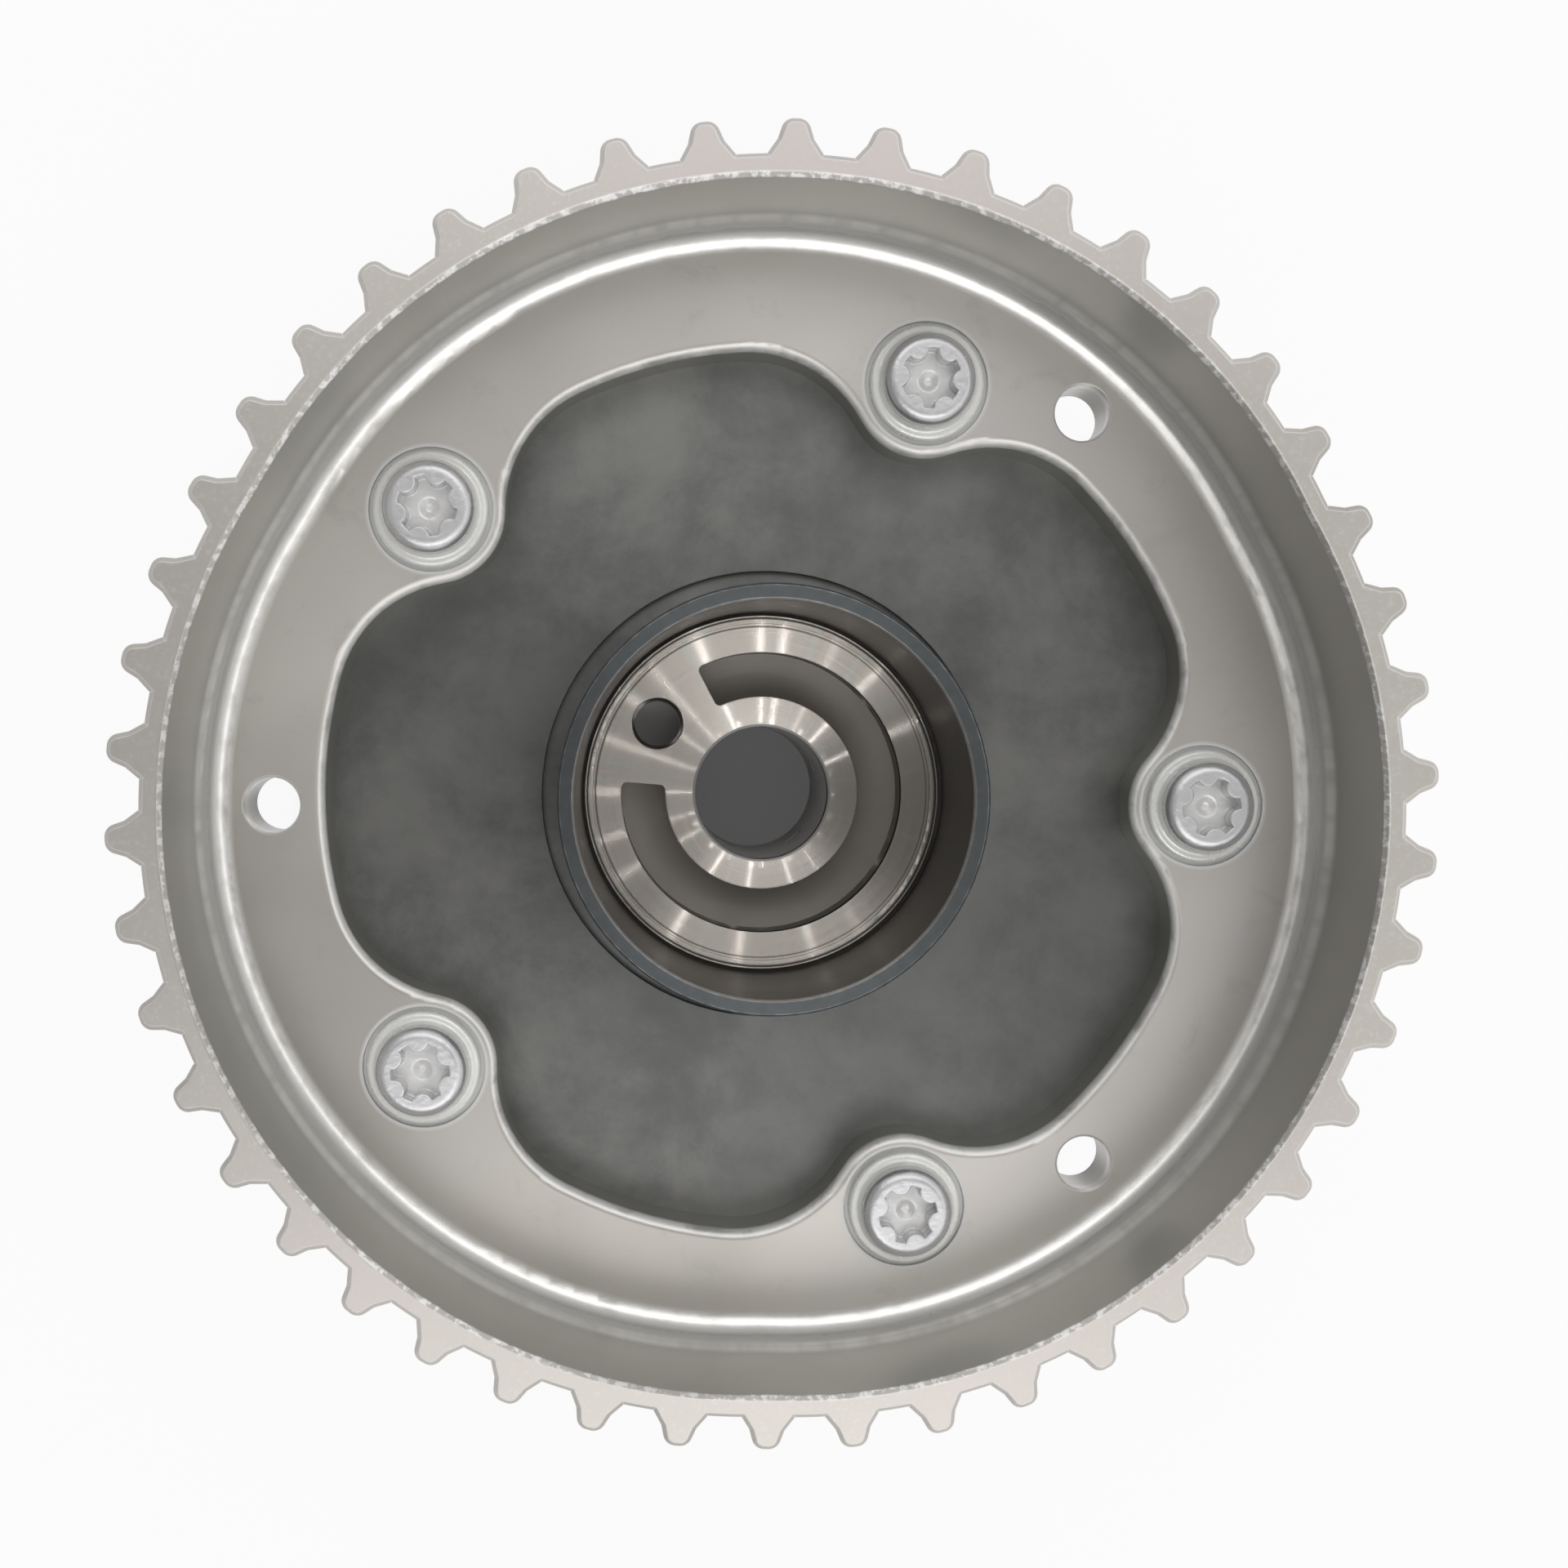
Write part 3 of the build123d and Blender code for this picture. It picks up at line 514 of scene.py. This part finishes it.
def screw_material():
    # Pale and a little dusty, with a painted highlight on the edges, and the flange and the recess
    # painted paler and duller, painted light over their shade and dark reflections
    t = Tree(bpy.data.materials.new("zinc_flake_coat"))
    position = t.position()
    height = t.split(position)[2]
    clouds = t.noise(position, scale=420.0, detail=3.0, roughness=0.65, distortion=0.5)
    lumps = t.noise(position, scale=1500.0)
    fine = t.noise(position, scale=3200.0, roughness=0.6)
    rounded, edges = t.rounded_edges(0.3 * MM)
    flange = t.product(
        t.ramp(height, SCREW_TOP - 1.2 * MM, SCREW_TOP - 1.5 * MM),
        t.ramp(height, SCREW_TOP - 6.0 * MM, SCREW_TOP - 4.0 * MM))
    recess = t.product(
        t.ramp(t.axis_distance(position, SCREW_AXES), RECESS_RADIUS + 0.2 * MM, RECESS_RADIUS),
        t.ramp(height, SCREW_TOP - 0.3 * MM, SCREW_TOP - 0.8 * MM))

    color = t.layered(
        t.mix(clouds, COAT_DARK, COAT_PALE),
        # Flange painted paler: painted light over its dark reflection
        (t.math("SUBTRACT", flange, recess, clamp=True), FLANGE_PAINTED_LIGHT),
        # Recess painted paler: painted light over its shade
        (recess, t.mix(clouds, RECESS_DARK, RECESS_PALE)),
        # Edges painted bright: a painted highlight
        (t.product(edges, t.ramp(lumps, 0.35, 0.6, 0.3, 0.95)), COAT_EDGE_HIGHLIGHT))
    rough = t.blend(clouds, 0.2, 0.32)
    metallic = t.blend(edges, t.blend(t.largest(flange, recess), 0.7, 0.2), 0.6)
    bumped = t.bump(lumps, 0.04 * MM, 0.7, t.bump(fine, 0.012 * MM, 0.5, rounded))
    return t.surface(color, rough, metallic, bumped)


# Dark and pale colour and the roughness of the hidden plain metals
SINTERED = ((0.36, 0.355, 0.345, 1), (0.47, 0.465, 0.45, 1), 0.42)
GROUND_STEEL = ((0.5, 0.5, 0.5, 1), (0.6, 0.6, 0.6, 1), 0.25)
SPRING_STEEL = ((0.4, 0.4, 0.4, 1), (0.5, 0.5, 0.5, 1), 0.3)
# Pale edges: wear and a painted highlight
PLAIN_EDGE_WEAR_AND_HIGHLIGHT = (0.9, 0.9, 0.92, 1)
SEAL_DARK, SEAL_PALE = (0.03, 0.026, 0.022, 1), (0.075, 0.066, 0.056, 1)


def plain_metal(name, dark, pale, roughness):
    t = Tree(bpy.data.materials.new(name))
    position = t.position()
    clouds = t.noise(position, scale=300.0, detail=3.0, roughness=0.6)
    fine = t.noise(position, scale=2400.0, roughness=0.6)
    rounded, edges = t.rounded_edges(0.1 * MM)
    color = t.layered(t.mix(clouds, dark, pale), (t.product(edges, 0.3), PLAIN_EDGE_WEAR_AND_HIGHLIGHT))
    rough = t.blend(clouds, roughness - 0.05, roughness + 0.08)
    return t.surface(color, rough, 1.0, t.bump(fine, 0.01 * MM, 0.5, rounded))


def seal_material():
    t = Tree(bpy.data.materials.new("filled_fluoropolymer"))
    specks = t.noise(t.position(), scale=1500.0, roughness=0.7)
    color = t.mix(specks, SEAL_DARK, SEAL_PALE)
    return t.surface(color, t.blend(specks, 0.45, 0.6), 0.0, t.bump(specks, 0.01 * MM, 0.4))


def use(material, *names):
    for name in names:
        piece = nodes[name]
        piece.data.materials.clear()
        piece.data.materials.append(material)


def numbered(*stems):
    return [f"{stem}_{number}" for stem in stems for number in range(1, 6)]


use(sprocket_material(), "sprocket")
use(dark_cover_material(), "rear_cover")
use(rotor_material(), "rotor")
use(plain_metal("sintered_steel", *SINTERED), "stator", "front_cover")
use(screw_material(), *numbered("housing_screw"))
use(plain_metal("ground_steel", *GROUND_STEEL), "lock_pin", "lock_cap", "lock_bush", "locating_pin")
spring_names = ["lock_spring", *numbered("vane_seal_spring", "web_seal_spring")]
use(plain_metal("spring_steel", *SPRING_STEEL), *spring_names)
use(seal_material(), *numbered("vane_seal", "web_seal"))

# Lock spring: the same coil, copied onto the rotor in place of the part
coil = bpy.data.objects.new("lock_spring_coil", nodes["lock_spring"].data.copy())
scene.collection.objects.link(coil)
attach(coil, "rotor")
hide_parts("lock_spring")
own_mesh(coil)


# Camera of the photograph: fitted in millimetres, with the part turned a little in its frame
PHOTO_TURN = math.radians(1.1)
CAMERA_PLACE = Vector((-11.554, 7.058, 180.0)) * MM
CAMERA_TILT_X = -0.055
CAMERA_TILT_Y = -0.035
FOCAL_PIXELS = 2166.188
CENTRE_PIXEL = (869.467, 1005.037)
IMAGE_PIXELS = 1920
SENSOR_WIDTH = 36.0

camera = bpy.data.objects.new("camera", bpy.data.cameras.new("camera"))
scene.collection.objects.link(camera)
tilt = Matrix.Rotation(CAMERA_TILT_X, 4, "X") @ Matrix.Rotation(CAMERA_TILT_Y, 4, "Y")
camera.matrix_world = Matrix.Rotation(PHOTO_TURN, 4, "Z") @ Matrix.Translation(CAMERA_PLACE) @ tilt
camera.data.sensor_fit = "HORIZONTAL"
camera.data.sensor_width = SENSOR_WIDTH
camera.data.lens = FOCAL_PIXELS / IMAGE_PIXELS * SENSOR_WIDTH
camera.data.shift_x = (IMAGE_PIXELS / 2 - CENTRE_PIXEL[0]) / IMAGE_PIXELS
camera.data.shift_y = (CENTRE_PIXEL[1] - IMAGE_PIXELS / 2) / IMAGE_PIXELS
camera.data.clip_start = 0.01
camera.data.clip_end = 50.0
scene.camera = camera


# Floor: pale, white to the camera, with a painted shadow: the white dims by ambient occlusion
# where the object stands over it
FLOOR_HALF = 4.0
FLOOR_COLOR = (0.82, 0.82, 0.82, 1)
FLOOR_SHADE_REACH = 27.0 * MM
FLOOR_WHITE_SHARE = 0.9


def floor_material():
    t = Tree(bpy.data.materials.new("pale_floor"))
    rays = t.node("ShaderNodeLightPath").outputs
    seen = t.largest(rays["Is Camera Ray"], rays["Is Glossy Ray"], rays["Is Transmission Ray"])
    cover = t.node("ShaderNodeAmbientOcclusion", samples=4)
    cover.inputs["Distance"].default_value = FLOOR_SHADE_REACH
    soft = t.node("ShaderNodeBsdfDiffuse")
    soft.inputs["Color"].default_value = FLOOR_COLOR
    white = t.node("ShaderNodeEmission")
    white.inputs["Color"].default_value = (1, 1, 1, 1)
    # The white dims by ambient occlusion: a painted shadow
    t.link(t.ramp(cover.outputs["AO"], 0.2, 0.5, 0.06, 1.0), white.inputs["Strength"])
    both = t.node("ShaderNodeMixShader")
    t.link(t.product(seen, FLOOR_WHITE_SHARE), both.inputs[0])
    t.link(soft.outputs[0], both.inputs[1])
    t.link(white.outputs[0], both.inputs[2])
    t.link(both.outputs[0], t.output.inputs["Surface"])
    return t.owner


corner_signs = [(-1, -1), (1, -1), (1, 1), (-1, 1)]
corners = [(x * FLOOR_HALF, y * FLOOR_HALF, FLOOR_LEVEL) for x, y in corner_signs]
floor_mesh = bpy.data.meshes.new("floor")
floor_mesh.from_pydata(corners, [], [(0, 1, 2, 3)])
floor = bpy.data.objects.new("floor", floor_mesh)
scene.collection.objects.link(floor)
floor_mesh.materials.append(floor_material())


# Studio: a white horizon, a bright ring of ceiling light, and a darker patch straight above
# where the camera is held. Each band is the height of a direction and its brightness.
SKY_STRENGTH = 2.4
SKY_BANDS = [(0.0, 0.415), (0.22, 0.44), (0.36, 0.36), (0.68, 0.36), (0.765, 0.5), (0.79, 0.95),
             (0.82, 0.95), (0.845, 0.5), (0.945, 0.42), (0.975, 0.3), (1.0, 0.2)]

# The ceiling is brighter ahead and behind than to the sides, a little brighter to the right, and
# darker ahead than behind. All this is strongest overhead and fades out to the horizon.
CEILING_GAIN = 11.0
CEILING_LIMITS = (-0.85, 1.05)
CEILING_LIFT_X = 0.3
CEILING_FALL_Y = 0.8
OVERHEAD_POWER = 6.0

# One side of the room is dimmer: where it lies, how sharply it starts, and the share it loses.
# Up to the top of the horizon no side is dim.
DIM_X = -1.62
DIM_Y = 0.4
DIM_POWER = 3.0
DIM_SHARE = 0.72
HORIZON_TOP = 0.08
HORIZON_RISE = 8.0


def sky_bands(t, height):
    bands = t.node("ShaderNodeValToRGB")
    ramp = bands.color_ramp
    ramp.interpolation = "EASE"
    while len(ramp.elements) < len(SKY_BANDS):
        ramp.elements.new(0.5)
    for element, (place, level) in zip(ramp.elements, SKY_BANDS):
        element.position = place
        element.color = (level, level, level, 1)
    t.link(height, bands.inputs[0])
    return bands.outputs[0]


def studio_world():
    world = bpy.data.worlds.new("studio")
    t = Tree(world, "ShaderNodeOutputWorld")
    x, y, z = t.split(t.node("ShaderNodeTexCoord").outputs["Generated"])
    ceiling = t.product(t.math("SUBTRACT", t.product(y, y), t.product(x, x)), CEILING_GAIN)
    ceiling = t.clamped(ceiling, *CEILING_LIMITS)
    ceiling = t.math("SUBTRACT", ceiling, t.product(y, CEILING_FALL_Y))
    ceiling = t.math("ADD", ceiling, t.product(x, CEILING_LIFT_X))
    overhead = t.math("POWER", t.math("MAXIMUM", z, 0.0), OVERHEAD_POWER)
    ceiling = t.math("ADD", t.product(ceiling, overhead), 1.0)
    dim = t.math("SUBTRACT", t.product(x, DIM_X), t.product(y, DIM_Y))
    dim = t.math("POWER", t.clamped(dim, 0.0, 1.0), DIM_POWER)
    above = t.product(t.math("SUBTRACT", z, HORIZON_TOP), HORIZON_RISE)
    dim = t.product(dim, DIM_SHARE, t.clamped(above, 0.0, 1.0))
    background = t.node("ShaderNodeBackground")
    t.link(sky_bands(t, z), background.inputs["Color"])
    t.link(t.product(ceiling, t.inverse(dim), SKY_STRENGTH), background.inputs["Strength"])
    t.link(background.outputs[0], t.output.inputs["Surface"])
    return world


scene.world = studio_world()


# Ceiling spots round the object. Each one draws its streak on the far side of the turned face.
# The streaks are given in degrees, as they lie in the photograph.
SPOT_DISTANCE = 0.9
SPOT_SPREAD = 0.021
SPOT_SIZE = 0.006
SPOT_BLEND = 0.4
SPOT_ELEVATION = math.radians(60.0)
STREAK_TO_SPOT = math.pi + PHOTO_TURN
STRONG_STREAKS = (32, 55, 90, 98, 118, 229, 254, 283)
STRONG_POWER = 0.35
FAINT_STREAKS = (72, 134, 145, 159, 175, 190, 203, 303)
FAINT_POWER = 0.14


def spot(name, streak, power):
    # A small spot aimed at the turned face, wide enough to fill it and no more
    made = bpy.data.objects.new(name, bpy.data.lights.new(name, "SPOT"))
    made.data.shadow_soft_size = SPOT_SIZE
    made.data.energy = power
    made.data.spot_size = 2 * math.atan(SPOT_SPREAD / SPOT_DISTANCE)
    made.data.spot_blend = SPOT_BLEND
    azimuth = math.radians(streak) + STREAK_TO_SPOT
    level = math.cos(SPOT_ELEVATION)
    outward = Vector((math.cos(azimuth) * level, math.sin(azimuth) * level, math.sin(SPOT_ELEVATION)))
    made.location = outward * SPOT_DISTANCE
    made.rotation_mode = "QUATERNION"
    made.rotation_quaternion = outward.to_track_quat("Z", "Y")
    scene.collection.objects.link(made)


for streak in STRONG_STREAKS:
    spot(f"strong_spot_{streak}", streak, STRONG_POWER)
for streak in FAINT_STREAKS:
    spot(f"faint_spot_{streak}", streak, FAINT_POWER)

scene.view_settings.view_transform = "Standard"
